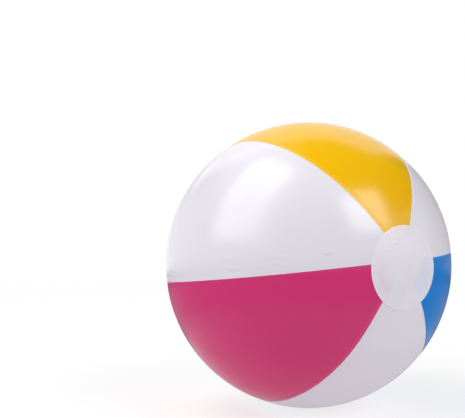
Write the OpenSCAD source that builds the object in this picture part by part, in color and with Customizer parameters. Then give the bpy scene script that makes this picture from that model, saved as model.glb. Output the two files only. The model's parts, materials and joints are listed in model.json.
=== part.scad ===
// Inflatable beach ball with a push-in valve, drawn blown up, in millimetres.
// The origin is the ball's centre and +Z is up. The gores meet on the X axis, the pole
// axis: the plain disc closes the +X pole and the valve disc closes the -X pole.
// Angles about the pole axis count from the top, +Z, towards -Y.

/* [Ball] */
// Outside diameter across the gores, blown up
ball_d = 400; // [300:10:600]
// Thickness of the vinyl film
film_t = 0.3; // [0.2:0.05:0.5]
// Width of the welded lap along each seam
lap_w = 5; // [3:0.5:8]
// Turn of the gores about the pole axis, in degrees
gore_turn = 7; // [0:1:60]
// Radius of the opening that the gore ends leave under each disc
gore_end_r = 32; // [24:1:34]

/* [Pole discs] */
// Diameter of each disc
disc_d = 100; // [96:1:130]
// Thickness of each disc
disc_t = 0.4; // [0.3:0.05:0.6]
// How far the plain disc is welded off the pole
disc_off = 12; // [0:1:12]
// Direction of that offset about the pole axis, in degrees
disc_off_dir = 225; // [0:1:360]
// Diameter of the hole in the valve disc
disc_hole_d = 25; // [24:0.5:27]

/* [Valve body] */
// Diameter of the flange welded under the valve disc
flange_d = 34; // [30:1:40]
// Thickness of the flange
flange_t = 0.8; // [0.6:0.1:1]
// Diameter of the well that the stem sinks into
well_d = 21; // [20:0.5:23]
// Outside diameter of the stem
stem_d = 13; // [12:0.5:14]
// Length of the stem
stem_l = 13.5; // [12:0.5:15]
// Diameter of the collar round the stem's mouth
collar_d = 16; // [15:0.5:17]
// Depth of the collar
collar_h = 1.5; // [1:0.1:2]
// Diameter of the seat that holds the stopper
seat_d = 9; // [9:0.1:9.4]
// Depth of the seat
seat_h = 5.5; // [5:0.1:6]
// Diameter of the nozzle bore below the seat
bore_d = 7; // [6:0.1:7.6]
// Depth at which the boot joins the stem
boot_foot = 7.95; // [7:0.05:9]
// Thickness of the check flap
flap_t = 0.6; // [0.4:0.1:0.8]

/* [Stopper] */
// Diameter of the head
head_d = 12.5; // [12:0.1:12.8]
// Thickness of the head
head_h = 2.2; // [2:0.1:2.6]
// Length of the pin
pin_l = 4.5; // [4:0.1:4.6]
// Diameter of the pin at its root
pin_root_d = 8.7; // [8.4:0.1:8.8]
// Diameter of the pin at its tip
pin_tip_d = 6.4; // [6:0.1:6.6]
// Length of the pull tab, from the head's edge
tab_l = 4.2; // [3:0.1:5]
// Width of the pull tab
tab_w = 5; // [4:0.1:6]
// Width of the strap
strap_w = 3.4; // [2.5:0.1:4]
// Thickness of the strap
strap_t = 0.7; // [0.5:0.1:0.8]
// Distance of the strap's fold from the stem's axis
fold_x = 11; // [11:0.1:12]

/* [Hidden] */
$fn = 96;

gore_count = 6;
gore_angle = 360 / gore_count;
ball_r = ball_d / 2;
disc_r = disc_d / 2;
disc_tilt = asin(disc_off / ball_r);
// The outside of a disc on the pole axis, where the valve's own frame starts
pole_z = ball_r + disc_t;

well_r = well_d / 2;
stem_r = stem_d / 2;
collar_r = collar_d / 2;
seat_r = seat_d / 2;
bore_r = bore_d / 2;
mouth_bevel = 0.3;
boot_joint_h = 1.1;
flap_r = bore_r + 1.5;
flap_tab_w = 4;

head_r = head_d / 2;
head_bevel = 0.3;
core_r = 2;
core_l = 3.7;
tab_h = 1;
tab_z = 0.6;
// The strap is a hairpin: one leg on the collar, a fold, and one leg to the head
strap_gap = 0.5;
fold_z = strap_t + strap_gap / 2;
strap_root_x = head_r + 0.35;

// Height, in the valve's frame, of a sphere of radius r at a distance d from the axis
function sphere_z(r, d) = sqrt(r * r - d * d) - pole_z;

// Turns a shape whose axis is Z onto the pole axis, with its +X at the top
module on_poles() {
    rotate([0, 90, 0]) rotate([0, 0, 180]) children();
}

// Sets a shape on the -X pole: its +Z points outwards and its +X to the top
module at_valve() {
    rotate([0, -90, 0]) children();
}

// A band of a spherical shell on the +Z pole, between two distances from the axis
module polar_band(r_in, r_out, from_d, to_d) {
    rotate_extrude() intersection() {
        difference() {
            circle(r = r_out);
            circle(r = r_in);
        }
        translate([from_d, 0]) square([to_d - from_d, r_out]);
    }
}

// The sector of space that one gore covers, with its far edge on +Y
module gore_sector() {
    reach = 2 * ball_d;
    linear_extrude(2 * ball_d, center = true)
        polygon([[0, 0], [reach * sin(gore_angle), reach * cos(gore_angle)], [0, reach]]);
}

// An upright slab that reaches out from the Z axis along +Y
module slab(from_x, to_x) {
    translate([from_x, 0, -ball_d]) cube([to_x - from_x, ball_d, 2 * ball_d]);
}

// The space that each disc takes up on the outside of the ball
module disc_space() {
    rotate([0, 0, disc_off_dir]) rotate([0, disc_tilt, 0]) cylinder(r = disc_r, h = ball_d);
    mirror([0, 0, 1]) cylinder(r = disc_r, h = ball_d);
}

// Gore number k. Its far edge laps over a strip of the next gore's film, and the weld makes
// the two one: a strip two films thick that ends at the seam and stops at the discs
module gore(k) {
    seam = gore_turn + (k + 0.5) * gore_angle - 90;
    on_poles() rotate([0, 0, seam]) difference() {
        intersection() {
            gore_sector();
            union() {
                sphere(r = ball_r);
                difference() {
                    intersection() {
                        sphere(r = ball_r + film_t);
                        slab(-lap_w, lap_w);
                    }
                    rotate([0, 0, -seam]) disc_space();
                }
            }
        }
        sphere(r = ball_r - film_t);
        cylinder(r = gore_end_r, h = 2 * ball_d, center = true);
    }
}

module yellow_gore() {
    color("#eebe2b") gore(0);
}

module white_gore_1() {
    color("#eceaf2") gore(1);
}

module pink_gore() {
    color("#cc3f77") gore(2);
}

module white_gore_2() {
    color("#eceaf2") gore(3);
}

module blue_gore() {
    color("#2f78bb") gore(4);
}

module white_gore_3() {
    color("#eceaf2") gore(5);
}

module plain_disc() {
    color("#e2e0e8") on_poles() rotate([0, 0, disc_off_dir]) rotate([0, disc_tilt, 0])
        polar_band(ball_r, ball_r + disc_t, 0, disc_r);
}

module valve_disc() {
    color("#e2e0e8") at_valve() polar_band(ball_r, ball_r + disc_t, disc_hole_d / 2, disc_r);
}

module valve_flange() {
    color("#d5d8de") at_valve() polar_band(ball_r - flange_t, ball_r, well_r, flange_d / 2);
}

// The boot is a thin cone from the well's edge down to the sunken stem. It turns
// inside out when the stem is pulled
module valve_boot() {
    outline = [
        [well_r, sphere_z(ball_r, well_r)],
        [well_r, sphere_z(ball_r - flange_t, well_r)],
        [stem_r, -boot_foot - boot_joint_h / 2],
        [stem_r, -boot_foot + boot_joint_h / 2]
    ];
    color("#cfd3da") at_valve() translate([0, 0, pole_z]) rotate_extrude() polygon(outline);
}

module valve_stem() {
    outline = [
        [bore_r, -stem_l], [stem_r, -stem_l], [stem_r, -collar_h], [collar_r, -collar_h],
        [collar_r, 0], [seat_r + mouth_bevel, 0], [seat_r, -mouth_bevel],
        [seat_r, -seat_h], [bore_r, -seat_h]
    ];
    color("#d5d8de") at_valve() translate([0, 0, pole_z]) rotate_extrude() polygon(outline);
}

// The flap closes the bore's inner end and swings inwards on its tab's outer edge
module check_flap() {
    color("#c4c8d0") at_valve() translate([0, 0, pole_z - stem_l - flap_t]) {
        cylinder(r = flap_r, h = flap_t);
        translate([0, -flap_tab_w / 2, 0]) cube([stem_r, flap_tab_w, flap_t]);
    }
}

module stopper() {
    outline = [
        [0, head_h], [head_r - head_bevel, head_h], [head_r, head_h - head_bevel], [head_r, 0],
        [pin_root_d / 2, 0], [pin_tip_d / 2, -pin_l], [core_r, -pin_l],
        [core_r, core_l - pin_l], [0, core_l - pin_l]
    ];
    tab_end = head_r + tab_l - tab_w / 2;
    color("#dfe2e8") at_valve() translate([0, 0, pole_z]) {
        rotate_extrude() polygon(outline);
        translate([0, 0, tab_z]) {
            translate([0, -tab_w / 2, 0]) cube([tab_end, tab_w, tab_h]);
            translate([tab_end, 0, 0]) cylinder(r = tab_w / 2, h = tab_h);
        }
    }
}

module stopper_strap() {
    leg_z = [0, strap_t + strap_gap];
    leg_start = [strap_root_x, 0];
    color("#dfe2e8") at_valve() translate([0, 0, pole_z]) difference() {
        translate([0, strap_w / 2, 0]) rotate([90, 0, 0]) linear_extrude(strap_w) {
            for (i = [0, 1])
                translate([-fold_x, leg_z[i]]) square([fold_x - leg_start[i], strap_t]);
            translate([-fold_x, fold_z]) intersection() {
                difference() {
                    circle(r = fold_z);
                    circle(r = strap_gap / 2);
                }
                translate([-fold_z, -fold_z]) square([fold_z, 2 * fold_z]);
            }
        }
        cylinder(r = head_r, h = head_h);
    }
}

yellow_gore();
white_gore_1();
pink_gore();
white_gore_2();
blue_gore();
white_gore_3();
plain_disc();
valve_disc();
valve_flange();
valve_boot();
valve_stem();
check_flap();
stopper();
stopper_strap();
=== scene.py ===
"""Looks of an inflated beach ball: six welded vinyl gores, two pole discs and a push-in valve.

Lengths are in metres where nothing else is said. Angles about the pole axis (X) count from
the top, +Z, towards -Y, as in the part's source. The weld bands, creases and puckers are
real geometry, and the finer grain of the vinyl is in the materials.
"""

import json
import math

import bmesh
import bpy
import numpy as np
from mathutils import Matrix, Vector


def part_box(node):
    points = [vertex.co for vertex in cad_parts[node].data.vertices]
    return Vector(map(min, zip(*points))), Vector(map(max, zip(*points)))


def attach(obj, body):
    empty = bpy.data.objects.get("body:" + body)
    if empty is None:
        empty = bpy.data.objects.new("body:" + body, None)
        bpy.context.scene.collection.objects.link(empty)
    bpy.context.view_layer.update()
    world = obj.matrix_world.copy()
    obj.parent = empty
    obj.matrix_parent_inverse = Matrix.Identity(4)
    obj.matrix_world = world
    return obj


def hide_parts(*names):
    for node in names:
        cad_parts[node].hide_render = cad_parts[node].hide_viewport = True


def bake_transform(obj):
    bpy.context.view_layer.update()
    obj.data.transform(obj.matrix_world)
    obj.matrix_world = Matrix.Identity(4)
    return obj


MM = 0.001

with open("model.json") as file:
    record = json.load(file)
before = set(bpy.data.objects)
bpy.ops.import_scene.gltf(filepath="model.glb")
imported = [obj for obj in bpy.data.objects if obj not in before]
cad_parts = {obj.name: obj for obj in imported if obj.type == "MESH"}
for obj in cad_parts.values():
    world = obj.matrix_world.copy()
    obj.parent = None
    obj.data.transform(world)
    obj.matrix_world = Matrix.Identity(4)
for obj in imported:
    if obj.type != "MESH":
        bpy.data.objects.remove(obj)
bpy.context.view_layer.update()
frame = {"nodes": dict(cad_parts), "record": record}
record = frame["record"]
nodes = frame["nodes"]

# ---------------------------------------------------------------- sizes
# These come from the frame, apart from the film, the lap and the gores' ends, which are as
# in the part's source
resting = next(m for m in record["mounts"] if m["name"] == "resting_point")
BALL_R = -resting["pos_m"][2]
FILM_T = 0.3 * MM
INNER_FACE_DEPTH = 0.2 * MM
LAP_W = 5 * MM
GORE_END_R = 32 * MM
DISC_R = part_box("valve_disc")[1].y
GORES = {
    "yellow_gore": "yellow_vinyl",
    "white_gore_1": "white_vinyl",
    "pink_gore": "pink_vinyl",
    "white_gore_2": "white_vinyl",
    "blue_gore": "blue_vinyl",
    "white_gore_3": "white_vinyl",
}
GORE_ANGLE = 2 * math.pi / len(GORES)
# How far a gore's end is from the pole, as an angle at the ball's centre
GORE_END = math.asin(GORE_END_R / BALL_R)


def node_points(name):
    return np.array([v.co for v in nodes[name].data.vertices], float)


# Distance of the valve disc's outer face from the ball's centre. The valve is flush with it
POLE_Z = float(np.linalg.norm(node_points("valve_disc"), axis=1).max())
DISC_T = POLE_Z - BALL_R


def gore_centre_angle(name):
    """The middle of a gore's sector about the pole axis, from the inner face of its film."""
    points = node_points(name)
    inner = points[np.linalg.norm(points, axis=1) < BALL_R - INNER_FACE_DEPTH]
    mean = inner.mean(0)
    return math.atan2(-mean[1], mean[2])


FIRST_CENTRE = gore_centre_angle("yellow_gore")
disc_mean = node_points("plain_disc").mean(0)
DISC_AXIS = disc_mean / np.linalg.norm(disc_mean)

# ---------------------------------------------------------------- camera
CAMERA_AZIMUTH = math.radians(57.4)
CAMERA_ELEVATION = math.radians(-1.85)
CAMERA_DISTANCE = 4.2 * BALL_R
CAMERA_LENS = 45.13
CAMERA_SHIFT = (-0.164, 0.121)


def direction_to(azimuth, elevation):
    """A unit vector. The azimuth counts from -Y towards +X."""
    across = math.cos(elevation)
    return Vector((math.sin(azimuth) * across, -math.cos(azimuth) * across, math.sin(elevation)))


camera_way = direction_to(CAMERA_AZIMUTH, CAMERA_ELEVATION)
camera_data = bpy.data.cameras.new("camera")
camera_data.lens = CAMERA_LENS
camera_data.shift_x, camera_data.shift_y = CAMERA_SHIFT
camera = bpy.data.objects.new("camera", camera_data)
camera.location = camera_way * CAMERA_DISTANCE
camera.rotation_euler = (-camera_way).to_track_quat("-Z", "Y").to_euler()
bpy.context.scene.collection.objects.link(camera)
bpy.context.scene.camera = camera


# ---------------------------------------------------------------- mesh helpers
def smoothstep(a, b, x):
    t = np.clip((np.asarray(x, float) - a) / (b - a), 0, 1)
    return t * t * (3 - 2 * t)


def bump(x, centre, width):
    return np.exp(-(((x - centre) / width) ** 2))


WAVE_COUNT = 14
# Brings the usual peaks of a sum of waves, over the root of their number, near to 1
WAVE_SCALE = 0.7


class Waves:
    """Smooth seeded noise of one or two coordinates, about -1 to 1: a sum of sine waves."""

    def __init__(self, seed, shortest, longest):
        draw = np.random.default_rng(seed)
        turn = draw.uniform(0, 2 * math.pi, WAVE_COUNT)
        lengths = np.exp(draw.uniform(math.log(shortest), math.log(longest), WAVE_COUNT))
        self.k = 2 * math.pi / lengths
        self.kx = self.k * np.cos(turn)
        self.ky = self.k * np.sin(turn)
        self.phase = draw.uniform(0, 2 * math.pi, WAVE_COUNT)

    def at(self, x, y=None):
        if y is None:
            waves = np.sin(np.multiply.outer(x, self.k) + self.phase)
        else:
            waves = np.sin(
                np.multiply.outer(x, self.kx) + np.multiply.outer(y, self.ky) + self.phase
            )
        return waves.sum(-1) / math.sqrt(WAVE_COUNT) * WAVE_SCALE


def make_mesh(name, verts, faces, attributes=(), sharp_angle=35):
    mesh = bpy.data.meshes.new(name)
    mesh.from_pydata([tuple(v) for v in verts], [], faces)
    for key, values in attributes:
        layer = mesh.attributes.new(key, "FLOAT", "POINT")
        layer.data.foreach_set("value", np.asarray(values, np.float32).ravel())
    mesh.update()
    mesh.shade_smooth()
    mesh.set_sharp_from_angle(angle=math.radians(sharp_angle))
    obj = bpy.data.objects.new(name, mesh)
    bpy.context.scene.collection.objects.link(obj)
    return obj


def grid_faces(rows, cols, first, flip, wrap):
    """Quads of a rows x cols grid of vertices, stored row by row from index first."""
    faces = []
    for i in range(rows - 1):
        for j in range(cols if wrap else cols - 1):
            k = (j + 1) % cols
            a, b = first + i * cols + j, first + i * cols + k
            c, d = first + (i + 1) * cols + k, first + (i + 1) * cols + j
            faces.append((a, d, c, b) if flip else (a, b, c, d))
    return faces


def shell_faces(rows, cols, wrap=False):
    """Faces of a closed shell made of an outer grid and, after it, an inner grid."""
    n = rows * cols
    faces = grid_faces(rows, cols, 0, True, wrap)
    faces += grid_faces(rows, cols, n, False, wrap)
    for i in (0, rows - 1):
        for j in range(cols if wrap else cols - 1):
            a, b = i * cols + j, i * cols + (j + 1) % cols
            faces.append((a, b, b + n, a + n) if i == 0 else (b, a, a + n, b + n))
    if not wrap:
        for j in (0, cols - 1):
            for i in range(rows - 1):
                a, b = i * cols + j, (i + 1) * cols + j
                faces.append((b, a, a + n, b + n) if j == 0 else (a, b, b + n, a + n))
    return faces


# ---------------------------------------------------------------- the skin of the ball
SEAM_DIP = 0.45 * MM
SEAM_DIP_REACH = 11 * MM
PUCKER_H = 0.05 * MM
PUCKER_REACH = 8 * MM
SWELL_H = 0.12 * MM
LAP_GAP = 0.02 * MM
LAP_PROUD = 0.035 * MM
WELDED_T = 0.18 * MM

# How far, in mm, a seam strays near the plain disc and on the way to the equator, and where
# each of the two is: its middle and its width, in degrees from the pole
SEAM_WANDER = {2: (-2.5, 0), 3: (1, 5), 4: (-1.5, -1), 5: (1, -5)}
WANDER_BY_DISC = (18, 14)
WANDER_HALF_WAY = (50, 20)

PUCKER_LENGTHS = (7 * MM, 22 * MM)
SWELL_LENGTHS = (60 * MM, 160 * MM)
seam_puckers = [Waves(40 + i, *PUCKER_LENGTHS) for i in range(len(GORES))]
swells = [Waves(5, *SWELL_LENGTHS), Waves(6, *SWELL_LENGTHS)]

# Long soft creases that lie along a seam: (seam, degrees from the pole to the middle,
# distance from the seam, length, slant over the length, height), in mm. The strongest lie
# on the white side of the white and pink seam
CREASED_SEAM = 1
CREASED_TO = 75
CREASES = [
    (CREASED_SEAM, 58.5, -11.0, 24, 3.0, 0.42),
    (CREASED_SEAM, 43.0, -13.2, 14, 0.5, 0.36),
    (CREASED_SEAM, 60.3, -22.0, 14, 0.8, 0.30),
    (CREASED_SEAM, 43.2, -18.6, 26, 1.8, 0.40),
    (CREASED_SEAM, 26.8, -18.0, 15, 1.0, 0.34),
]
# The others are fainter and scattered, within these ranges of the same measures, and start
# past the strongest ones on their seam
SCATTERED_PER_SEAM = 7
SCATTERED_FROM = 20
SCATTERED_TO = 160
SCATTERED_AWAY = (8, 26)
SCATTERED_LENGTH = (12, 34)
SCATTERED_SLANT = (-2.5, 2.5)
SCATTERED_HEIGHT = (0.05, 0.11)
rng = np.random.default_rng(11)
for seam in range(len(GORES)):
    first = CREASED_TO if seam == CREASED_SEAM else SCATTERED_FROM
    for _ in range(SCATTERED_PER_SEAM):
        side = rng.choice([-1, 1])
        CREASES.append(
            (
                seam,
                rng.uniform(first, SCATTERED_TO),
                side * rng.uniform(*SCATTERED_AWAY),
                rng.uniform(*SCATTERED_LENGTH),
                rng.uniform(*SCATTERED_SLANT),
                rng.uniform(*SCATTERED_HEIGHT),
            )
        )

# A crease across its length, in mm: (width of its ridge, share of the height by which the
# film dips beside it, distance to the middle of that dip, width of the dip)
GORE_CREASE = (2.2, 0.75, 3.2, 2.4)
DISC_CREASE = (1.3, 0.7, 2.4, 1.7)
CREASE_FADE = 1.6


def crease(along, across, shape):
    """A crease of unit height. along goes from -1 to 1 over its length. across is in mm."""
    ridge, dip, dip_at, dip_width = shape
    fade = np.exp(-(along**2) * CREASE_FADE)
    return fade * (bump(across, 0, ridge) - dip * bump(across, dip_at, dip_width))


def seam_angle(i):
    """The angle of the seam between gore i and the next one."""
    return FIRST_CENTRE + (i + 0.5) * GORE_ANGLE


def seam_line(i, theta):
    """The angle of seam i along its length: straight, but for the film's uneven stretch."""
    degrees = np.degrees(theta)
    end, middle = SEAM_WANDER.get(i, (0, 0))
    drift = end * bump(degrees, *WANDER_BY_DISC) + middle * bump(degrees, *WANDER_HALF_WAY)
    return seam_angle(i) + drift * MM / (BALL_R * np.sin(theta))


def seam_distance(i, theta, phi):
    """Signed distance over the ball from seam i, growing towards the next gore."""
    turn = (phi - seam_line(i, theta) + math.pi) % (2 * math.pi) - math.pi
    return turn * BALL_R * np.sin(theta)


def skin_radius(theta, phi):
    """Outer radius of the film: a sphere with slightly pulled-in seams and small creases."""
    along = theta * BALL_R
    x, y, z = np.moveaxis(on_ball(theta, phi, BALL_R + 0 * phi), -1, 0)
    r = BALL_R - SWELL_H / 2 + SWELL_H / 4 * (swells[0].at(x, y) + swells[1].at(z, x))
    for i in range(len(GORES)):
        d = seam_distance(i, theta, phi)
        r = r - SEAM_DIP * np.exp(-np.abs(d) / SEAM_DIP_REACH)
        waves = seam_puckers[i].at(along)
        r = r + PUCKER_H * waves * np.exp(-((d / PUCKER_REACH) ** 2))
    for seam, at, away, length, slant, height in CREASES:
        s = (along - math.radians(at) * BALL_R) / (length * MM / 2)
        d = seam_distance(seam, theta, phi) / MM - away + slant * s / 2
        r = r + height * MM * crease(s, d, GORE_CREASE)
    return r


def on_ball(theta, phi, r):
    """The point at an angle theta from the pole, phi about its axis and r from the centre."""
    across = r * np.sin(theta)
    return np.stack([r * np.cos(theta), -across * np.sin(phi), across * np.cos(phi)], axis=-1)


# ---------------------------------------------------------------- gores
# Columns of points close to a gore's two edges: from its near edge, which lies under the
# gore before it, and from its far edge, which is on top
NEAR_CORE = np.array([-4.8, -4.0, -2.6, -1.2, -0.4, 0.1, 0.5, 1.2, 2.2, 3.4, 4.6, 5.8]) * MM
FAR_CORE = np.array(
    [-8.2, -7.2, -6.6, -6.2, -5.95, -5.7, -5.45, -5.2, -5.0, -4.4, -3.4, -2.4, -1.5]
    + [-0.9, -0.55, -0.35, -0.2, -0.1, 0]
) * MM
CREASE_ZONE = 32 * MM
FINE_STEP = 1.6 * MM
COARSE_STEP = 6.5 * MM
ROW_STEP = 2.9 * MM

# Where the film changes across a gore, as (from, to) past its far edge, so that it is below
# 0 on the gore. TUCK is past the near edge, and BEAD is a middle and a width
RISE = (-LAP_W - 3 * MM, -LAP_W + 0.3 * MM)
PRESS = (-LAP_W - 1.5 * MM, -LAP_W)
TUCK = (0.1 * MM, 1.6 * MM)
BEAD_H = 0.04 * MM
BEAD = (-0.35 * MM, 0.3 * MM)
CUT = (-0.2 * MM, 0)
CUT_OUTER_DROP = 0.07 * MM
CUT_INNER_LIFT = 0.03 * MM
WELD_LOOK = (-5.6 * MM, -4.9 * MM)
# The cut edge is painted paler over this band: partly the squeezed film's own tone, partly a
# painted highlight
EDGE_TONE_AND_HIGHLIGHT_BAND = (-0.8 * MM, -0.25 * MM)


def column_fractions():
    """Where the columns between the two cores stand: close together near the seams."""
    width = BALL_R * GORE_ANGLE - NEAR_CORE[-1] + FAR_CORE[0]
    fine = round(CREASE_ZONE / FINE_STEP)
    coarse = round((width - 2 * CREASE_ZONE) / COARSE_STEP)
    steps = [FINE_STEP] * fine + [COARSE_STEP] * coarse + [FINE_STEP] * fine
    at = np.cumsum([0] + steps)
    return at[1:-1] / at[-1]


def build_gore(index, name):
    """The film of one gore, in rows from pole to pole and columns from seam to seam."""
    rows = round((math.pi - 2 * GORE_END) * BALL_R / ROW_STEP)
    theta = np.linspace(GORE_END, math.pi - GORE_END, rows)[:, None]
    ring = BALL_R * np.sin(theta)
    far = seam_line(index, theta)
    near = seam_line((index - 1) % len(GORES), theta)
    near = far - (far - near) % (2 * math.pi)
    width = ring * (far - near)
    between = NEAR_CORE[-1] + column_fractions()[None, :] * (
        width - NEAR_CORE[-1] + FAR_CORE[0]
    )
    across = np.concatenate(
        [np.repeat(NEAR_CORE[None, :], rows, 0), between, width + FAR_CORE[None, :]], axis=1
    )
    phi = near + across / ring
    theta = np.repeat(theta, across.shape[1], 1)
    to_far = across - width
    # the weld presses both films thin: this gore's far edge stays on top of the lap, and
    # its near edge dips under the edge of the gore before it
    on_top = smoothstep(*RISE, to_far)
    pressed = smoothstep(*PRESS, to_far)
    under = 1 - smoothstep(*TUCK, across)
    outer = skin_radius(theta, phi) + LAP_PROUD * on_top
    outer -= (WELDED_T + LAP_GAP - LAP_PROUD) * under
    inner = outer - FILM_T + (FILM_T - WELDED_T) * np.maximum(pressed, under)
    # a bead of vinyl is squeezed out along the cut edge, whose corners are softened
    outer += BEAD_H * bump(to_far, *BEAD)
    outer -= CUT_OUTER_DROP * smoothstep(*CUT, to_far)
    inner += CUT_INNER_LIFT * smoothstep(*CUT, to_far)
    weld = smoothstep(*WELD_LOOK, to_far)
    # edge marks the cut edge that is painted paler, partly as a painted highlight along it
    edge = smoothstep(*EDGE_TONE_AND_HIGHLIGHT_BAND, to_far)
    verts = np.concatenate(
        [on_ball(theta, phi, outer).reshape(-1, 3), on_ball(theta, phi, inner).reshape(-1, 3)]
    )
    return make_mesh(
        name + "_skin",
        verts,
        shell_faces(rows, across.shape[1]),
        [("weld", np.tile(weld.ravel(), 2)), ("cut_edge", np.tile(edge.ravel(), 2))],
    )


# ---------------------------------------------------------------- pole discs
# Lengths of a disc's film are in mm. Its rings of points: (from, to, step) from its axis
DISC_STEPS = [
    (1.5, 39.0, 1.5),
    (39.0, 49.0, 0.34),
    (49.0, 50.0, 0.2),
]
HOLE_STEPS = (0, 0.15, 0.4)
HOLE_CLEAR = 0.6
FIRST_RING = 0.5
SPOKES = 288

# Where a disc is lifted by a lap, as metres from its seam, and where it comes to lie on the
# ends of the gores, as mm from the pole. Inside those it sinks a little
LAP_RISE = (-8 * MM, -4.7 * MM)
LAP_FALL = (0.5 * MM, 3.0 * MM)
LAP_LIFT = LAP_PROUD + 0.04 * MM
GORE_END_RISE = (GORE_END_R / MM - 7, GORE_END_R / MM - 0.6)
GORE_END_SINK = 0.10

# The weld is a band of fine rings near the rim
WELD_IN = 40.4
WELD_OUT = 48.8
WELD_RAMP = 0.3
WELD_PITCH = 2.1
WELD_RIDGE = 0.15

# Ridges round the disc: (height, distance from the axis, width). That of the hole's ridge
# counts from the hole's edge
INNER_LIP = (0.10, WELD_IN - 0.5, 0.6)
RIM_LIP = (0.07, 49.4, 0.35)
HOLE_LIP = (0.08, 0.9, 0.5)
RIM_ROUND = (49.6, 50.0)
RIM_ROUND_DROP = 0.12
# Where the disc's rim is painted lighter, as a painted highlight along its cut edge, in mm from
# the axis
RIM_HIGHLIGHT_BAND = (48.9, 49.5)

# Puckers just inside the weld, in a band like those ridges, as waves along a ring of radius
# PUCKER_RING. The loose film in the middle has slow waves
PUCKER = (0.045, WELD_IN - 3.5, 4.0)
PUCKER_WAVES = (4, 14)
PUCKER_RING = 40
LOOSE_H = 0.12
LOOSE_WAVES = (18, 45)
LOOSE_FADE = (30, 39)
DEEPEST = -0.2

# Short creases: (turn of the middle in degrees from the side nearest the top, distance from
# the axis, length, slant in degrees, height). The turn goes to the left from the top, seen
# from outside
DISC_CREASES = {
    "plain_disc": [
        (32, 34, 12, -73, 0.45),
        (54, 34, 14, 88, 0.35),
        (35, 29, 13, -45, 0.30),
        (75, 30, 12, 20, 0.20),
        (-60, 24, 16, 40, 0.20),
        (150, 27, 14, 120, 0.20),
    ],
    "valve_disc": [(20, 30, 16, 70, 0.22), (-130, 28, 14, -30, 0.20), (95, 25, 12, 10, 0.16)],
}


def disc_axes(axis):
    """Two directions across a disc's axis. The first is the one nearest to the top."""
    up = np.array([0, 0, 1.0]) - axis[2] * axis
    up /= np.linalg.norm(up)
    return up, np.cross(axis, up)


def disc_rings(hole_r):
    """Distances of a disc's rings of points from its axis, from the inside to the rim."""
    steps = [np.arange(a, b, step) for a, b, step in DISC_STEPS]
    radii = np.unique(np.round(np.concatenate(steps + [[DISC_R / MM]]), 3))
    radii = radii[radii > hole_r + HOLE_CLEAR]
    first = [hole_r + step for step in HOLE_STEPS] if hole_r else [FIRST_RING]
    return np.concatenate([first, radii])


def disc_relief(name, rho, turn, hole_r, seed):
    """Height of a disc's outer face over an even film, and 1 in the band of its weld."""
    in_band = smoothstep(WELD_IN - WELD_RAMP, WELD_IN + WELD_RAMP, rho) * (
        1 - smoothstep(WELD_OUT - WELD_RAMP, WELD_OUT + WELD_RAMP, rho)
    )
    ridges = 0.5 - 0.5 * np.cos((rho - WELD_IN) / WELD_PITCH * 2 * math.pi)
    relief = -WELD_RIDGE * in_band * ridges
    for height, at, width in (INNER_LIP, RIM_LIP):
        relief = relief + height * bump(rho, at, width)
    relief = relief - RIM_ROUND_DROP * smoothstep(*RIM_ROUND, rho)
    height, at, width = PUCKER
    puckers = Waves(seed, *PUCKER_WAVES).at(turn * PUCKER_RING)
    relief = relief + height * puckers * bump(rho, at, width)
    x, y = rho * np.cos(turn), rho * np.sin(turn)
    loose = Waves(seed + 1, *LOOSE_WAVES).at(x, y)
    relief = relief + LOOSE_H * loose * (1 - smoothstep(*LOOSE_FADE, rho))
    for middle_turn, middle_rho, length, slant, height in DISC_CREASES[name]:
        a = math.radians(middle_turn)
        u = x - middle_rho * math.cos(a)
        v = y - middle_rho * math.sin(a)
        b = math.radians(slant)
        along = u * math.cos(b) + v * math.sin(b)
        off = v * math.cos(b) - u * math.sin(b)
        relief = relief + height * crease(along / (length / 2), off, DISC_CREASE)
    if hole_r:
        height, away, width = HOLE_LIP
        relief = relief + height * bump(rho, hole_r + away, width)
    return np.maximum(relief, DEEPEST), in_band


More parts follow.
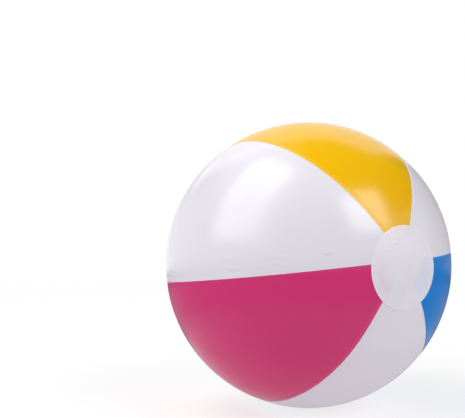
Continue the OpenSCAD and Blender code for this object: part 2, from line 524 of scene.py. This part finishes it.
def build_disc(name, axis, hole_r, seed):
    """The film of one disc over a pole, in rings about its own axis, draped on the gores.

    The radius of its hole, or 0, is in mm.
    """
    up, side = disc_axes(axis)
    rho = disc_rings(hole_r)[:, None] * np.ones((1, SPOKES))
    turn = np.linspace(0, 2 * math.pi, SPOKES, endpoint=False)[None, :] + 0 * rho
    tilt = np.arcsin(rho * MM / BALL_R)
    way = (
        np.cos(tilt)[..., None] * axis
        + (np.sin(tilt) * np.cos(turn))[..., None] * up
        + (np.sin(tilt) * np.sin(turn))[..., None] * side
    )
    theta = np.arccos(np.clip(way[..., 0], -1, 1))
    phi = np.arctan2(-way[..., 1], way[..., 2])
    lifted = np.zeros_like(rho)
    for i in range(len(GORES)):
        d = seam_distance(i, theta, phi)
        lift = smoothstep(*LAP_RISE, d) * (1 - smoothstep(*LAP_FALL, d))
        lifted = np.maximum(lifted, lift)
    over_gores = smoothstep(*GORE_END_RISE, BALL_R * np.sin(theta) / MM)
    lifted *= LAP_LIFT * over_gores
    base = skin_radius(theta, phi) * over_gores + (1 - over_gores) * BALL_R
    base = base + lifted - (1 - over_gores) * GORE_END_SINK * MM
    relief, in_band = disc_relief(name, rho, turn, hole_r, seed)
    outer = base + LAP_GAP + DISC_T + relief * MM
    inner = base + LAP_GAP
    # the rim band that the material paints lighter, as a painted highlight
    rim = smoothstep(*RIM_HIGHLIGHT_BAND, rho)
    verts = np.concatenate(
        [(way * outer[..., None]).reshape(-1, 3), (way * inner[..., None]).reshape(-1, 3)]
    )
    rows = rho.shape[0]
    n = rows * SPOKES
    attributes = {
        "weld": np.tile(in_band.ravel(), 2),
        "cut_edge": np.tile(rim.ravel(), 2),
        "ring": np.tile((rho / (DISC_R / MM)).ravel(), 2),
    }
    faces = shell_faces(rows, SPOKES, wrap=True)
    if not hole_r:
        # the middle is closed with a fan on each side, in place of the hole's wall
        wall = 2 * (rows - 1) * SPOKES
        del faces[wall : wall + SPOKES]
        verts = np.concatenate([verts, [axis * outer[0].mean(), axis * inner[0].mean()]])
        for key in attributes:
            attributes[key] = np.concatenate([attributes[key], attributes[key][[0, n]]])
        for j in range(SPOKES):
            k = (j + 1) % SPOKES
            faces.append((j, k, 2 * n))
            faces.append((n + k, n + j, 2 * n + 1))
    return make_mesh(name + "_film", verts, faces, list(attributes.items()), sharp_angle=50)


# ---------------------------------------------------------------- materials
def linear(r, g, b):
    """Linear colour from 0-255 display values."""
    out = []
    for c in (r, g, b):
        c /= 255
        out.append(c / 12.92 if c <= 0.04045 else ((c + 0.055) / 1.055) ** 2.4)
    return (*out, 1)


def feed(tree, socket, value):
    """Links a socket to the output of another node, or sets it where value is a constant."""
    if isinstance(value, bpy.types.NodeSocket):
        tree.links.new(value, socket)
    else:
        socket.default_value = value


def add_node(tree, kind, inputs=None, **settings):
    node = tree.nodes.new(kind)
    for key, value in settings.items():
        setattr(node, key, value)
    for key, value in (inputs or {}).items():
        feed(tree, node.inputs[key], value)
    return node


class Shader:
    """A material's node tree with one Principled shader."""

    def __init__(self, name):
        self.material = bpy.data.materials.new(name)
        self.material.use_nodes = True
        self.tree = self.material.node_tree
        self.out = self.tree.nodes["Material Output"]
        self.bsdf = self.tree.nodes["Principled BSDF"]
        self.place = self.node("ShaderNodeTexCoord").outputs["Object"]

    def node(self, kind, inputs=None, **settings):
        return add_node(self.tree, kind, inputs, **settings)

    def noise(self, scale, detail=2.0, roughness=0.5):
        return self.node(
            "ShaderNodeTexNoise",
            {"Vector": self.place, "Scale": scale, "Detail": detail, "Roughness": roughness},
        ).outputs["Fac"]

    def attribute(self, name):
        return self.node("ShaderNodeAttribute", attribute_name=name).outputs["Fac"]

    def math(self, operation, a, b=0.0):
        return self.node("ShaderNodeMath", {0: a, 1: b}, operation=operation).outputs[0]

    def ramp(self, value, low, high, to_low, to_high):
        inputs = {"Value": value, 1: low, 2: high, 3: to_low, 4: to_high}
        return self.node("ShaderNodeMapRange", inputs).outputs[0]

    def mix(self, factor, a, b):
        """A colour between a and b. Those are the node's inputs 6 and 7."""
        return self.node("ShaderNodeMix", {0: factor, 6: a, 7: b}, data_type="RGBA").outputs[2]

    def bumps(self, *layers):
        """Chains bump nodes: (height, distance in metres, strength)."""
        chain = {}
        for height, distance, strength in layers:
            inputs = {"Height": height, "Distance": distance, "Strength": strength, **chain}
            chain = {"Normal": self.node("ShaderNodeBump", inputs).outputs[0]}
        self.set(**chain)

    def set(self, **values):
        for key, value in values.items():
            feed(self.tree, self.bsdf.inputs[key.replace("_", " ")], value)


# The span of a noise's values that a ramp spreads out: a narrow one has clearer patches
NARROW = (0.35, 0.65)
WIDE = (0.3, 0.7)

# How much the vinyl's slightly thicker patches, its welds and its cut edges show. The paler cut
# edge is partly the squeezed film's own tone and partly a painted highlight
PATCH_SHARE = 0.35
WELD_SHARE = 0.03
EDGE_TONE_AND_HIGHLIGHT_SHARE = 0.6
VINYL_ROUGHNESS = (0.185, 0.245)
WELD_ROUGHER = 0.10
WELD_GRAIN = 1500


def vinyl(name, colour, pale, deep, specular=0.5):
    """Glossy printed vinyl film.

    pale is the colour of its welds' squeezed edges, and deep that of its thicker patches. Along
    the cut edge, pale is also a painted highlight.
    """
    s = Shader(name)
    patches = s.math("MULTIPLY", s.ramp(s.noise(9, 3, 0.6), *NARROW, 0, 1), PATCH_SHARE)
    weld = s.attribute("weld")
    edge = s.attribute("cut_edge")
    now = s.mix(patches, colour, deep)
    now = s.mix(s.math("MULTIPLY", weld, WELD_SHARE), now, pale)
    # the cut edge is painted paler: partly the film's own tone, partly a painted highlight along
    # it
    now = s.mix(s.math("MULTIPLY", edge, EDGE_TONE_AND_HIGHLIGHT_SHARE), now, pale)
    haze = s.ramp(s.noise(60, 4, 0.6), *WIDE, *VINYL_ROUGHNESS)
    # the film's slow waviness, its orange peel, and the grain that the welding tool left
    s.bumps(
        (s.noise(24, 2, 0.5), 0.0012, 0.08),
        (s.noise(420, 2, 0.5), 0.0001, 0.05),
        (s.math("MULTIPLY", s.noise(WELD_GRAIN, 1), weld), 0.0003, 0.30),
    )
    s.set(Base_Color=now, Roughness=s.math("ADD", haze, s.math("MULTIPLY", weld, WELD_ROUGHER)))
    s.bsdf.inputs["Specular IOR Level"].default_value = specular
    return s.material


PINK = linear(214, 43, 115)
YELLOW = linear(243, 188, 0)
BLUE = linear(0, 128, 214)
WHITE = linear(232, 229, 238)

materials = {
    "yellow_vinyl": vinyl("yellow_vinyl", YELLOW, linear(252, 226, 150), linear(240, 176, 10)),
    "white_vinyl": vinyl("white_vinyl", WHITE, linear(240, 238, 246), linear(226, 222, 231)),
    "pink_vinyl": vinyl("pink_vinyl", PINK, linear(240, 170, 202), linear(204, 39, 101)),
    "blue_vinyl": vinyl("blue_vinyl", BLUE, linear(160, 205, 240), linear(0, 121, 206), 0.2),
}

GORE_EDGE_BLUR = 0.05


def gore_mask(s, phi, centre):
    """1 over a gore and 0 beside it, with a soft edge."""
    turn = s.math("SUBTRACT", phi, centre)
    wrap = {0: turn, 1: math.pi, 2: -math.pi}
    away = s.math("ABSOLUTE", s.node("ShaderNodeMath", wrap, operation="WRAP").outputs[0])
    half = GORE_ANGLE / 2
    return s.ramp(away, half + GORE_EDGE_BLUR, half - GORE_EDGE_BLUR, 0, 1)


# The colours of the gores as they show through a disc, how strongly they do inside and at
# the rim, the shares of its radius between which that changes, and the distance from the
# pole over which the gores' ends come in
DISC_TINTS = {
    "yellow_gore": YELLOW,
    "pink_gore": PINK,
    "blue_gore": linear(110, 180, 226),
}
TINT_SHARE = (0.12, 0.05)
TINT_FADE = (0.8, 1.0)
OVER_GORES = (GORE_END_R - 6 * MM, GORE_END_R + 5 * MM)
DISC_MILK = linear(236, 233, 242)
DISC_MILK_DEEP = linear(232, 229, 237)
DISC_WELD = linear(240, 238, 245)
DISC_EDGE_HIGHLIGHT = linear(247, 246, 251)
# How much a disc's weld and the painted highlight on its cut edge show, over the white gores and
# over the coloured ones
DISC_WELD_SHARE = (0.05, 0.3)
DISC_EDGE_HIGHLIGHT_SHARE = (0.2, 0.95)
DISC_ROUGHNESS = (0.28, 0.34)


def disc_material():
    """Clear vinyl over the gores' ends: milky, with their colours showing faintly through."""
    s = Shader("disc_vinyl")
    _, y, z = s.node("ShaderNodeSeparateXYZ", {0: s.place}).outputs
    phi = s.math("ARCTAN2", s.math("MULTIPLY", y, -1.0), z)
    squares = s.math("ADD", s.math("MULTIPLY", y, y), s.math("MULTIPLY", z, z))
    over = s.ramp(s.math("SQRT", squares), *OVER_GORES, 0, 1)
    patches = s.ramp(s.noise(40, 3, 0.6), *WIDE, 0, 1)
    colour = s.mix(patches, DISC_MILK, DISC_MILK_DEEP)
    fade = s.ramp(s.attribute("ring"), *TINT_FADE, *TINT_SHARE)
    tint = s.math("MULTIPLY", over, fade)
    coloured = 0.0
    for index, name in enumerate(GORES):
        if name in DISC_TINTS:
            mask = gore_mask(s, phi, FIRST_CENTRE + index * GORE_ANGLE)
            colour = s.mix(s.math("MULTIPLY", mask, tint), colour, DISC_TINTS[name])
            coloured = s.math("ADD", mask, coloured)
    weld = s.attribute("weld")
    edge_highlight_share = s.ramp(coloured, 0, 1, *DISC_EDGE_HIGHLIGHT_SHARE)
    weld_share = s.ramp(coloured, 0, 1, *DISC_WELD_SHARE)
    colour = s.mix(s.math("MULTIPLY", weld, weld_share), colour, DISC_WELD)
    # the disc's rim is painted near white, most over the coloured gores: a painted highlight along
    # its cut edge
    edge = s.math("MULTIPLY", s.attribute("cut_edge"), edge_highlight_share)
    colour = s.mix(edge, colour, DISC_EDGE_HIGHLIGHT)
    haze = s.ramp(s.noise(70, 4), *WIDE, *DISC_ROUGHNESS)
    s.bumps(
        (s.noise(45, 2), 0.0010, 0.15),
        (s.noise(500, 2), 0.0001, 0.20),
        (s.math("MULTIPLY", s.noise(WELD_GRAIN, 1), weld), 0.0003, 0.35),
    )
    s.set(Base_Color=colour, Roughness=s.math("ADD", haze, s.math("MULTIPLY", weld, WELD_ROUGHER)))
    s.bsdf.inputs["Specular IOR Level"].default_value = 0.5
    return s.material


# How far red, green and blue light spreads inside the valve's vinyl
SUBSURFACE_RADIUS = (0.0012, 0.0012, 0.0014)


def moulded(name, colour, shade, roughness, soft):
    """Moulded vinyl or rubber of the valve: satin, with a fine grain and slight depth."""
    s = Shader(name)
    patches = s.ramp(s.noise(180, 3), *WIDE, 0, 1)
    s.set(
        Base_Color=s.mix(patches, colour, shade),
        Roughness=s.ramp(s.noise(600, 3), *WIDE, roughness - 0.05, roughness + 0.07),
    )
    s.bsdf.inputs["Subsurface Weight"].default_value = soft
    s.bsdf.inputs["Subsurface Radius"].default_value = SUBSURFACE_RADIUS
    s.bsdf.inputs["Subsurface Scale"].default_value = 1.0
    s.bumps((s.noise(1400, 2), 0.0001, 0.25), (s.noise(240, 2), 0.0003, 0.12))
    return s.material


materials["disc_vinyl"] = disc_material()
materials["valve_vinyl"] = moulded(
    "valve_vinyl", linear(214, 217, 224), linear(206, 209, 217), 0.30, 0.25
)
materials["flap_vinyl"] = moulded(
    "flap_vinyl", linear(188, 190, 196), linear(178, 180, 187), 0.42, 0.1
)


def finish_piece(obj, slot, body, *replaced):
    """Gives a piece its material, body and slot. A piece that bends rides on no one body."""
    obj.data.materials.append(materials[slot])
    if body:
        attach(obj, body)
    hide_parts(*replaced)


# ---------------------------------------------------------------- the ball's pieces
# A gore is cut flat, and the air stretches it both ways
for index, (name, slot) in enumerate(GORES.items()):
    gore = build_gore(index, name)
    finish_piece(gore, slot, "ball", name)

# The hole's radius is in mm
HOLE_R = 12.5
for name, axis, hole_r, seed in (
    ("plain_disc", DISC_AXIS, 0, 70),
    ("valve_disc", np.array([-1.0, 0.0, 0.0]), HOLE_R, 80),
):
    disc = build_disc(name, axis, hole_r, seed)
    finish_piece(disc, "disc_vinyl", "ball", name)


# ---------------------------------------------------------------- valve
# Lengths of the valve are in mm, and heights count from its outer face
SEAT_R = 4.5
SEAT_H = 5.5
SEAT_CHAMFER = 0.3
BORE_R = 3.5
STEM_R = 6.5
STEM_L = 13.5
COLLAR_R = 8.0
COLLAR_H = 1.5
# The groove in the collar: distance from the axis, half its width, and depth
GROOVE = (COLLAR_R - 1.15, 0.25, 0.14)
WELL_R = 10.5
FLANGE_R = 17.0
FLANGE_T = 0.8
FLANGE_GAP = 0.25
# The boot's ends, as (distance from the axis, height), and the heights between which it
# goes over from the ball to the stem
BOOT_TOP = (WELL_R, -0.95)
BOOT_FOOT = (STEM_R + 0.1, -7.95)
BOOT_T = 0.45
BOOT_BEND = 1.6
BOOT_END_THIN = 0.7
HEAD_R = 6.25
HEAD_H = 2.2
HEAD_FALL = 0.1
DISH_R = HEAD_R * 0.70
DISH_FLOOR_R = HEAD_R * 0.62
DISH_DEPTH = 0.2
DISH_MIDDLE_DEPTH = 0.25
PIN_L = 4.5
PIN_ROOT_R = 4.35
PIN_TIP_R = 3.2
PIN_BORE_R = 2.0
PIN_BORE_L = 3.7
TAB_ROOT = HEAD_R - 1.2
TAB_L = 4.2
TAB_W = 5.0
TAB_Z = 0.6
TAB_H = 1.0
TAB_ROUND = 2.4
STRAP_W = 3.4
STRAP_T = 0.7
STRAP_GAP = 0.5
# The strap leaves the collar just clear of the head, and its other end runs into the head
STRAP_HEAD_GAP = 0.2
STRAP_INTO_HEAD = 0.5
# The fold's middle, the strap's thickness there, and where it thins and its legs end, as
# distances from that middle
FOLD_X = 11.0
FOLD_T = 0.35
FOLD_THIN_FROM = 1.6
FOLD_THIN_TO = 0.2
FOLD_LEG_END = 0.05
FLAP_R = 5.0
FLAP_T = 0.6
FLAP_TAB_W = 4.0
CLEARANCE = 0.02

# A corner takes up to this share of the sides next to it
CORNER_SHARE = 0.45
CORNER_STEPS = 4
SHARP = 1e-3
ON_AXIS = 1e-6
LATHE_SEGMENTS = 96
# How far down a slab's softened edge its middle step is
EDGE_STEP = 0.3


def at_valve(x, y, z):
    """A point of the valve's frame: z points out of the ball and x to the top."""
    return (-(POLE_Z + z * MM), y * MM, x * MM)


def rounded(points, radii):
    """A closed outline with each corner rounded by its radius, apart from those on the axis."""
    out = []
    for i, (point, radius) in enumerate(zip(points, radii)):
        p = np.array(point, float)
        before = np.array(points[i - 1], float) - p
        after = np.array(points[(i + 1) % len(points)], float) - p
        to_before, to_after = np.linalg.norm(before), np.linalg.norm(after)
        r = min(radius, to_before * CORNER_SHARE, to_after * CORNER_SHARE)
        if p[0] < ON_AXIS or r < SHARP:
            out.append(tuple(p))
            continue
        start, stop = p + before / to_before * r, p + after / to_after * r
        for t in np.linspace(0, 1, CORNER_STEPS + 1):
            out.append(tuple((1 - t) ** 2 * start + 2 * t * (1 - t) * p + t * t * stop))
    return out


def fix_normals(obj):
    b = bmesh.new()
    b.from_mesh(obj.data)
    bmesh.ops.recalc_face_normals(b, faces=b.faces)
    b.to_mesh(obj.data)
    b.free()


def lathe(name, outline):
    """A closed outline of (distance from the axis, height) turned about the valve's axis."""
    verts = []
    rings = []
    faces = []
    for r, z in outline:
        if r < ON_AXIS:
            rings.append([len(verts)])
            verts.append(at_valve(0, 0, z))
            continue
        rings.append(list(range(len(verts), len(verts) + LATHE_SEGMENTS)))
        for j in range(LATHE_SEGMENTS):
            a = 2 * math.pi * j / LATHE_SEGMENTS
            verts.append(at_valve(r * math.cos(a), r * math.sin(a), z))
    for i, ring in enumerate(rings):
        other = rings[(i + 1) % len(rings)]
        if len(ring) == 1 and len(other) == 1:
            continue
        for j in range(LATHE_SEGMENTS):
            k = (j + 1) % LATHE_SEGMENTS
            if len(ring) == 1:
                faces.append((ring[0], other[j], other[k]))
            elif len(other) == 1:
                faces.append((ring[j], other[0], ring[k]))
            else:
                faces.append((ring[j], other[j], other[k], ring[k]))
    obj = make_mesh(name, verts, faces)
    fix_normals(obj)
    return obj


def outward(outline):
    """The direction out of a closed flat outline at each of its points."""
    after = np.roll(outline, -1, axis=0)
    area = (outline[:, 0] * after[:, 1] - after[:, 0] * outline[:, 1]).sum()
    along = after - np.roll(outline, 1, axis=0)
    along = along / np.linalg.norm(along, axis=1, keepdims=True)
    return np.stack([along[:, 1], -along[:, 0]], axis=1) * math.copysign(1, area)


def slab(name, outline, low, high, edge, place=at_valve, inset_share=0.3):
    """A flat outline given thickness from low to high, with its edges softened over edge.

    place puts an outline's point and a level into the valve's frame. inset_share of the
    softening is left at the middle step of the edge.
    """
    outline = np.array(outline, float)
    normals = outward(outline)
    n = len(outline)
    step, inset = edge * EDGE_STEP, edge * inset_share
    levels = [(low, edge), (low + step, inset), (low + edge, 0)]
    levels += [(high - edge, 0), (high - step, inset), (high, edge)]
    verts = []
    faces = []
    for level, back_off in levels:
        verts += [place(u, v, level) for u, v in outline - normals * back_off]
    for row in range(len(levels) - 1):
        for j in range(n):
            a, b = row * n + j, row * n + (j + 1) % n
            faces.append((a, b, b + n, a + n))
    faces.append(tuple(range(n - 1, -1, -1)))
    faces.append(tuple(range((len(levels) - 1) * n, len(levels) * n)))
    obj = make_mesh(name, verts, faces)
    fix_normals(obj)
    return obj


def ball_z(below, d):
    """Height of the sphere that lies below under the ball's surface, d from the axis."""
    r = BALL_R / MM - below
    return math.sqrt(r * r - d * d) - POLE_Z / MM


flange = lathe(
    "valve_flange_ring",
    rounded(
        [
            (WELL_R, ball_z(0, WELL_R) - FLANGE_GAP),
            (FLANGE_R, ball_z(0, FLANGE_R) - FLANGE_GAP),
            (FLANGE_R, ball_z(FLANGE_T, FLANGE_R)),
            (WELL_R, ball_z(FLANGE_T, WELL_R)),
        ],
        [0.2] * 4,
    ),
)
finish_piece(flange, "valve_vinyl", "ball", "valve_flange")

groove_r, groove_half, groove_depth = GROOVE
stem = lathe(
    "valve_stem_tube",
    rounded(
        [
            (BORE_R, -STEM_L),
            (STEM_R, -STEM_L),
            (STEM_R, -COLLAR_H),
            (COLLAR_R, -COLLAR_H),
            (COLLAR_R, 0),
            (groove_r + groove_half, 0),
            (groove_r, -groove_depth),
            (groove_r - groove_half, 0),
            (SEAT_R + SEAT_CHAMFER, 0),
            (SEAT_R, -SEAT_CHAMFER),
            (SEAT_R, -SEAT_H),
            (BORE_R, -SEAT_H),
        ],
        [0.2, 0.3, 0.3, 0.35, 0.45, 0.2, 0.2, 0.2, 0.15, 0.15, 0.2, 0.2],
    ),
)
finish_piece(stem, "valve_vinyl", "stem", "valve_stem")


def boot_outline():
    """The boot's thin wall, from the well's edge down to the stem."""
    t = np.linspace(0, 1, 22)
    r = BOOT_TOP[0] + (BOOT_FOOT[0] - BOOT_TOP[0]) * t**BOOT_BEND
    z = BOOT_TOP[1] + (BOOT_FOOT[1] - BOOT_TOP[1]) * t
    line = np.stack([r, z], axis=1)
    along = np.concatenate([line[1:2] - line[:1], line[2:] - line[:-2], line[-1:] - line[-2:-1]])
    along = along / np.linalg.norm(along, axis=1, keepdims=True)
    half = np.full((len(line), 1), BOOT_T / 2)
    half[[0, -1]] *= BOOT_END_THIN
    off = np.stack([-along[:, 1], along[:, 0]], axis=1) * half
    return [*(line + off), *(line - off)[::-1]]


boot = lathe("valve_boot_skirt", boot_outline())
finish_piece(boot, "valve_vinyl", None, "valve_boot")
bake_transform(boot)


def arc(x, y, radius, start, stop, count):
    """Points on an arc about (x, y). Its angles are in half turns."""
    angles = np.linspace(start * math.pi, stop * math.pi, count)
    return [(x + radius * math.cos(a), y + radius * math.sin(a)) for a in angles]


def rounded_tip(tip_x, half, radius):
    """Points of a tab's end from its -y side round to its +y side."""
    points = []
    for a in np.linspace(-math.pi / 2, math.pi / 2, 16):
        corner = math.copysign(half - radius, a)
        points.append((tip_x - radius + radius * math.cos(a), corner + radius * math.sin(a)))
    return points


def keyhole(radius, tip_x, tab_half):
    """A round plate with a tab towards +x, as an outline in the valve's x-y plane."""
    start = math.asin(tab_half / radius) / math.pi
    return arc(0, 0, radius, start, 2 - start, 40) + rounded_tip(tip_x, tab_half, tab_half)


flap = slab(
    "check_flap_plate",
    keyhole(FLAP_R, STEM_R, FLAP_TAB_W / 2),
    -STEM_L - FLAP_T,
    -STEM_L - CLEARANCE,
    edge=0.15,
)
finish_piece(flap, "flap_vinyl", "flap", "check_flap")

head = lathe(
    "stopper_plug",
    rounded(
        [
            (0, HEAD_H - DISH_MIDDLE_DEPTH),
            (DISH_FLOOR_R, HEAD_H - DISH_DEPTH),
            (DISH_R, HEAD_H),
            (HEAD_R, HEAD_H - HEAD_FALL),
            (HEAD_R, CLEARANCE),
            (PIN_ROOT_R, CLEARANCE),
            (PIN_TIP_R, -PIN_L),
            (PIN_BORE_R, -PIN_L),
            (PIN_BORE_R, PIN_BORE_L - PIN_L),
            (0, PIN_BORE_L - PIN_L),
        ],
        [0, 0.5, 0.35, 0.7, 0.4, 0.1, 0.35, 0.25, 0.4, 0],
    ),
)
finish_piece(head, "valve_vinyl", "stopper", "stopper")

tab = slab(
    "stopper_tab",
    [
        (TAB_ROOT, -TAB_W / 2),
        *rounded_tip(HEAD_R + TAB_L, TAB_W / 2, TAB_ROUND),
        (TAB_ROOT, TAB_W / 2),
    ],
    TAB_Z,
    TAB_Z + TAB_H,
    edge=0.25,
)
finish_piece(tab, "valve_vinyl", "stopper")


def thinned(x):
    """How much the strap thins towards its fold, where it bends."""
    share = smoothstep(-FOLD_X + FOLD_THIN_FROM, -FOLD_X + FOLD_THIN_TO, x)
    return (STRAP_T - FOLD_T) * share


def strap_outline():
    """The hairpin: out along the collar, round the fold and back into the head."""
    fold_z = STRAP_T + STRAP_GAP / 2
    leg = np.linspace(-(HEAD_R + STRAP_HEAD_GAP), -FOLD_X + FOLD_LEG_END, 12)
    head_leg = np.linspace(-(HEAD_R - STRAP_INTO_HEAD), -FOLD_X + FOLD_LEG_END, 12)
    points = list(zip(leg, thinned(leg)))
    points += arc(-FOLD_X, fold_z, STRAP_GAP / 2 + FOLD_T, -0.5, -1.5, 17)
    points += [(x, 2 * fold_z - thinned(x)) for x in head_leg[::-1]]
    points += [(x, 2 * fold_z - STRAP_T) for x in head_leg]
    points += arc(-FOLD_X, fold_z, STRAP_GAP / 2, 0.5, 1.5, 13)
    points += [(x, STRAP_T) for x in leg[::-1]]
    return points


strap = slab(
    "stopper_strap_band",
    strap_outline(),
    -STRAP_W / 2,
    STRAP_W / 2,
    edge=0.16,
    place=lambda x, z, y: at_valve(x, y, z),
    inset_share=0.35,
)
finish_piece(strap, "valve_vinyl", None, "stopper_strap")
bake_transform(strap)

# ---------------------------------------------------------------- stage and light
# The ball is lit and mirrored by a darker floor and world than the camera sees
FLOOR_SIZE = 60.0
FLOOR_GREY = (0.36, 0.35, 0.36, 1)
FLOOR_GREY_SEEN = (0.36, 0.36, 0.36, 1)
# Where the floor's own light begins and ends to change, from the middle, and its strength
# there: as the ball gets it, and as the camera sees it
GLOW = (0.40, 0.56, 0.43, 0.09)
GLOW_SEEN = (0.4, 3.0, 0.66, 0.94)
GLOW_COLOUR = (1.0, 0.94, 0.97, 1)
WHITE_LIGHT = (1, 1, 1, 1)

floor_corners = [(-1, -1), (1, -1), (1, 1), (-1, 1)]
floor = make_mesh(
    "floor",
    [(x * FLOOR_SIZE, y * FLOOR_SIZE, -BALL_R) for x, y in floor_corners],
    [(0, 1, 2, 3)],
)
ground = Shader("pale_floor")
from_middle = ground.node("ShaderNodeVectorMath", {0: ground.place}, operation="LENGTH")
distance = from_middle.outputs["Value"]
ground.set(
    Base_Color=FLOOR_GREY, Roughness=0.9, Emission_Strength=ground.ramp(distance, *GLOW)
)
ground.bsdf.inputs["Emission Color"].default_value = GLOW_COLOUR
ground.bsdf.inputs["Specular IOR Level"].default_value = 0.0
matt = ground.node("ShaderNodeBsdfDiffuse", {"Color": FLOOR_GREY_SEEN}).outputs[0]
glow = ground.node(
    "ShaderNodeEmission",
    {"Color": WHITE_LIGHT, "Strength": ground.ramp(distance, *GLOW_SEEN)},
).outputs[0]
seen = ground.node("ShaderNodeAddShader", {0: matt, 1: glow}).outputs[0]
to_camera = ground.node("ShaderNodeLightPath").outputs["Is Camera Ray"]
both = ground.node(
    "ShaderNodeMixShader", {0: to_camera, 1: ground.bsdf.outputs[0], 2: seen}
).outputs[0]
feed(ground.tree, ground.out.inputs["Surface"], both)
floor.data.materials.append(ground.material)

# The world's light at the horizon and above ZENITH_START, which is the sine of an elevation
HORIZON_LIGHT = 1.06
ZENITH_LIGHT = 0.06
ZENITH_START = 0.55
SKY_SEEN = 1.0
# The room is dimmer on one side, where the blue gore's edge would mirror the horizon.
# DIM_RAMP gives the cosines of the angles to its middle at which that begins and is full
DIM_AZIMUTH = math.radians(190)
DIM_SHARE = 0.4
DIM_RAMP = (0.5, 0.9)

world = bpy.data.worlds.new("studio")
bpy.context.scene.world = world
world.use_nodes = True
sky = world.node_tree
background = sky.nodes["Background"]
background.inputs["Color"].default_value = WHITE_LIGHT


def sky_ramp(value, low, high, to_low, to_high):
    inputs = {0: value, 1: low, 2: high, 3: to_low, 4: to_high}
    return add_node(sky, "ShaderNodeMapRange", inputs).outputs[0]


direction = add_node(sky, "ShaderNodeTexCoord").outputs["Generated"]
way_up = add_node(sky, "ShaderNodeSeparateXYZ", {0: direction}).outputs[2]
falling = sky_ramp(way_up, 0.0, ZENITH_START, HORIZON_LIGHT, ZENITH_LIGHT)
towards_dim = add_node(
    sky,
    "ShaderNodeVectorMath",
    {0: direction, 1: direction_to(DIM_AZIMUTH, 0)},
    operation="DOT_PRODUCT",
).outputs["Value"]
share = sky_ramp(towards_dim, *DIM_RAMP, 1.0, DIM_SHARE)
room = add_node(sky, "ShaderNodeMath", {0: falling, 1: share}, operation="MULTIPLY").outputs[0]
to_camera = add_node(sky, "ShaderNodeLightPath").outputs["Is Camera Ray"]
strength = sky_ramp(to_camera, 0.0, 1.0, room, SKY_SEEN)
feed(sky, background.inputs["Strength"], strength)


def softbox(name, azimuth, elevation, distance, size, radiance):
    """An area light that faces the ball, its angles in degrees and size (width, height).

    Its power follows from its radiance, which is how bright it looks.
    """
    way = direction_to(math.radians(azimuth), math.radians(elevation))
    data = bpy.data.lights.new(name, "AREA")
    data.shape = "RECTANGLE"
    data.size, data.size_y = size
    data.energy = radiance * math.pi * size[0] * size[1]
    lamp = bpy.data.objects.new(name, data)
    lamp.location = way * distance
    lamp.rotation_euler = (-way).to_track_quat("-Z", "Y").to_euler()
    lamp.visible_camera = False
    bpy.context.scene.collection.objects.link(lamp)


# The first three make the windows on the white and yellow gores, and the others fill
softbox("key", -2, 44, 1.9, (1.15, 2.1), 3.2)
softbox("key_edge", 20, 44, 1.9, (0.5, 2.1), 1.1)
softbox("side", 106, 34.5, 1.9, (1.0, 0.9), 5.0)
softbox("back", 245, 50, 2.4, (3.0, 2.0), 0.85)
softbox("rear", 236, 12, 2.4, (1.4, 1.0), 1.4)
softbox("left", -70, 14, 2.2, (2.0, 1.2), 0.15)
softbox("right", 140, 12, 2.4, (2.0, 1.5), 0.6)
softbox("top", -50, 65, 2.0, (1.5, 1.5), 0.25)

view = bpy.context.scene.view_settings
view.view_transform = "Standard"
view.look = "None"
